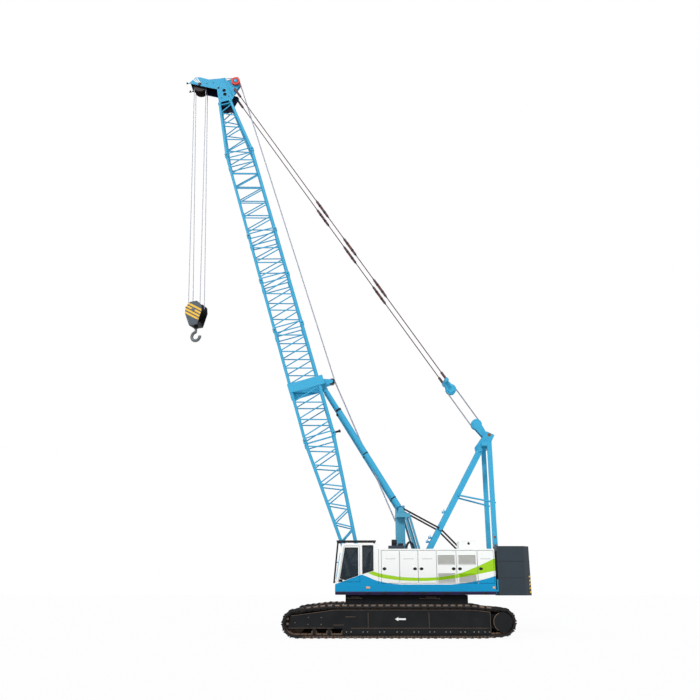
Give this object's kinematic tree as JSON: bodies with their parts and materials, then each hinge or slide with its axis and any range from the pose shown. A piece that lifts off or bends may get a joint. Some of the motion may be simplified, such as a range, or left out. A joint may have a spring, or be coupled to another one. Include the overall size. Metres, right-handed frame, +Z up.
{
  "type": "dynamic compaction machine",
  "caption": "Tracked lattice-boom crane for dynamic compaction, with a slewing deck, cab, machine houses, stays, sliding backstops and a hook block that hoists on steel ropes",
  "frame": {"origin": "On the ground under the slewing axis, midway between the tracks", "axes": "+X forward, the way the boom points, +Y to the machine's left, +Z up"},
  "size_m": [15.0367, 6.86, 26.0508],
  "materials": {
    "bright_blue": "gloss enamel",
    "skirt_blue": "gloss enamel",
    "white_paint": "gloss enamel, dusty",
    "dark_ballast": "satin enamel",
    "black_paint": "satin enamel",
    "slate_paint": "satin enamel, scuffed",
    "red_paint": "satin enamel",
    "machinery_grey": "satin enamel",
    "track_steel": "worn, dusty and rust stained",
    "bare_steel": "machined",
    "rope_steel": "greased wire rope",
    "pendant_steel": "greased wire rope with dark sockets",
    "glass": "clear, faintly tinted",
    "cab_trim": "textured"
  },
  "bodies": {
    "undercarriage": {"carbody": "black_paint", "slewing_ring": "bare_steel", "side_frame_left": "track_steel", "side_frame_right": "track_steel", "track_left": "track_steel", "track_right": "track_steel", "idlers": "track_steel", "sprockets": "track_steel", "track_rollers": "track_steel"},
    "upperworks": {"deck_frame": "bright_blue", "deck_skirts": "skirt_blue", "house_left": "white_paint", "house_right": "white_paint", "engine": "machinery_grey", "fuel_tank": "white_paint", "cab_shell": "white_paint", "cab_glass": "glass", "cab_interior": "cab_trim", "roof_guard": "black_paint", "counterweight": "dark_ballast", "hoist_winch": "machinery_grey", "luff_winch": "machinery_grey", "backstop_portal": "bright_blue", "gantry_mast": "bright_blue", "gantry_rear_legs": "bright_blue", "portal_stays": "black_paint"},
    "boom": {"boom_base": "bright_blue", "boom_inserts": "bright_blue", "boom_top": "bright_blue", "boom_cross_beam": "bright_blue", "rope_roller": "black_paint", "boom_head": "bright_blue", "head_sheaves": "red_paint", "guide_sheaves": "red_paint"},
    "inner_bridle": {"inner_bridle": "bright_blue", "bridle_ropes": "rope_steel"},
    "outer_bridle": {"outer_bridle": "bright_blue", "pendants": "pendant_steel"},
    "strut_tubes": {"strut_tubes": "bright_blue"},
    "strut_rods": {"strut_rods": "bright_blue"},
    "falls": {"hoist_falls": "rope_steel"},
    "hook_block": {"hook_block": "slate_paint", "block_sheaves": "black_paint", "hook": "slate_paint"},
    "cab_door": {"cab_door": "white_paint", "cab_door_glass": "glass"},
    "door_left_1": {"door_left_1": "white_paint"},
    "door_left_2": {"door_left_2": "white_paint"},
    "door_left_3": {"door_left_3": "white_paint"},
    "door_left_4": {"door_left_4": "white_paint"},
    "door_left_5": {"door_left_5": "white_paint"},
    "door_left_6": {"door_left_6": "white_paint"},
    "door_right_1": {"door_right_1": "white_paint"},
    "door_right_2": {"door_right_2": "white_paint"},
    "door_right_3": {"door_right_3": "white_paint"}
  },
  "joints": [
    {"name": "slew", "type": "hinge", "parent": "undercarriage", "child": "upperworks", "pos_m": [0, 0, 1.43], "axis": [0, 0, 1], "continuous": true},
    {"name": "boom_luff", "type": "hinge", "parent": "upperworks", "child": "boom", "pos_m": [1.308, 0, 1.95], "axis": [0, 1, 0], "range_deg": [-3.2, 13.8]},
    {"name": "bridle_swing", "type": "hinge", "parent": "upperworks", "child": "inner_bridle", "pos_m": [-4.1, 0, 7.75], "axis": [0, 1, 0], "range_deg": [-4.2, 15.5]},
    {"name": "bridle_reach", "type": "slide", "parent": "inner_bridle", "child": "outer_bridle", "axis": [0.5519, 0, 0.8339], "range_m": [-0.5, 1.95], "deforming": ["bridle_ropes"]},
    {"name": "strut_swing", "type": "hinge", "parent": "upperworks", "child": "strut_tubes", "pos_m": [-0.39, 0, 4.71], "axis": [0, 1, 0], "range_deg": [-4.5, 17]},
    {"name": "strut_reach", "type": "slide", "parent": "strut_tubes", "child": "strut_rods", "axis": [0.524, 0, 0.8517], "range_m": [-0.25, 0.85]},
    {"name": "falls_swing", "type": "hinge", "parent": "boom", "child": "falls", "pos_m": [9.13342, 0, 25.4228], "axis": [0, 1, 0], "range_deg": [-14, 3.4]},
    {"name": "hoist", "type": "slide", "parent": "falls", "child": "hook_block", "axis": [0.0445, 0, 0.999], "range_m": [-9.3, 9.4], "deforming": ["hoist_falls"]},
    {"name": "cab_door_hinge", "type": "hinge", "parent": "upperworks", "child": "cab_door", "pos_m": [1.349, 1.625, 2.5], "axis": [0, 0, 1], "range_deg": [0, 90]},
    {"name": "door_left_1_hinge", "type": "hinge", "parent": "upperworks", "child": "door_left_1", "pos_m": [-0.174, 1.63, 2.46], "axis": [0, 0, 1], "range_deg": [0, 90]},
    {"name": "door_left_2_hinge", "type": "hinge", "parent": "upperworks", "child": "door_left_2", "pos_m": [-0.242, 1.63, 2.46], "axis": [0, 0, -1], "range_deg": [0, 90]},
    {"name": "door_left_3_hinge", "type": "hinge", "parent": "upperworks", "child": "door_left_3", "pos_m": [-1.587, 1.63, 2.46], "axis": [0, 0, 1], "range_deg": [0, 90]},
    {"name": "door_left_4_hinge", "type": "hinge", "parent": "upperworks", "child": "door_left_4", "pos_m": [-1.655, 1.63, 2.46], "axis": [0, 0, -1], "range_deg": [0, 90]},
    {"name": "door_left_5_hinge", "type": "hinge", "parent": "upperworks", "child": "door_left_5", "pos_m": [-3.157, 1.63, 2.46], "axis": [0, 0, 1], "range_deg": [0, 90]},
    {"name": "door_left_6_hinge", "type": "hinge", "parent": "upperworks", "child": "door_left_6", "pos_m": [-3.786, 1.63, 2.46], "axis": [0, 0, 1], "range_deg": [0, 90]},
    {"name": "door_right_1_hinge", "type": "hinge", "parent": "upperworks", "child": "door_right_1", "pos_m": [-0.881, -1.63, 2.46], "axis": [0, 0, -1], "range_deg": [0, 90]},
    {"name": "door_right_2_hinge", "type": "hinge", "parent": "upperworks", "child": "door_right_2", "pos_m": [-0.949, -1.63, 2.46], "axis": [0, 0, 1], "range_deg": [0, 90]},
    {"name": "door_right_3_hinge", "type": "hinge", "parent": "upperworks", "child": "door_right_3", "pos_m": [-3.786, -1.63, 2.46], "axis": [0, 0, -1], "range_deg": [0, 90]}
  ],
  "couplings": [
    {"joint": "bridle_swing", "follows": "boom_luff", "ratio": 1.05},
    {"joint": "bridle_reach", "follows": "boom_luff", "m_per_rad": 7.77},
    {"joint": "strut_swing", "follows": "boom_luff", "ratio": 1.18},
    {"joint": "strut_reach", "follows": "boom_luff", "m_per_rad": 3.01},
    {"joint": "falls_swing", "follows": "boom_luff", "ratio": -1}
  ]
}
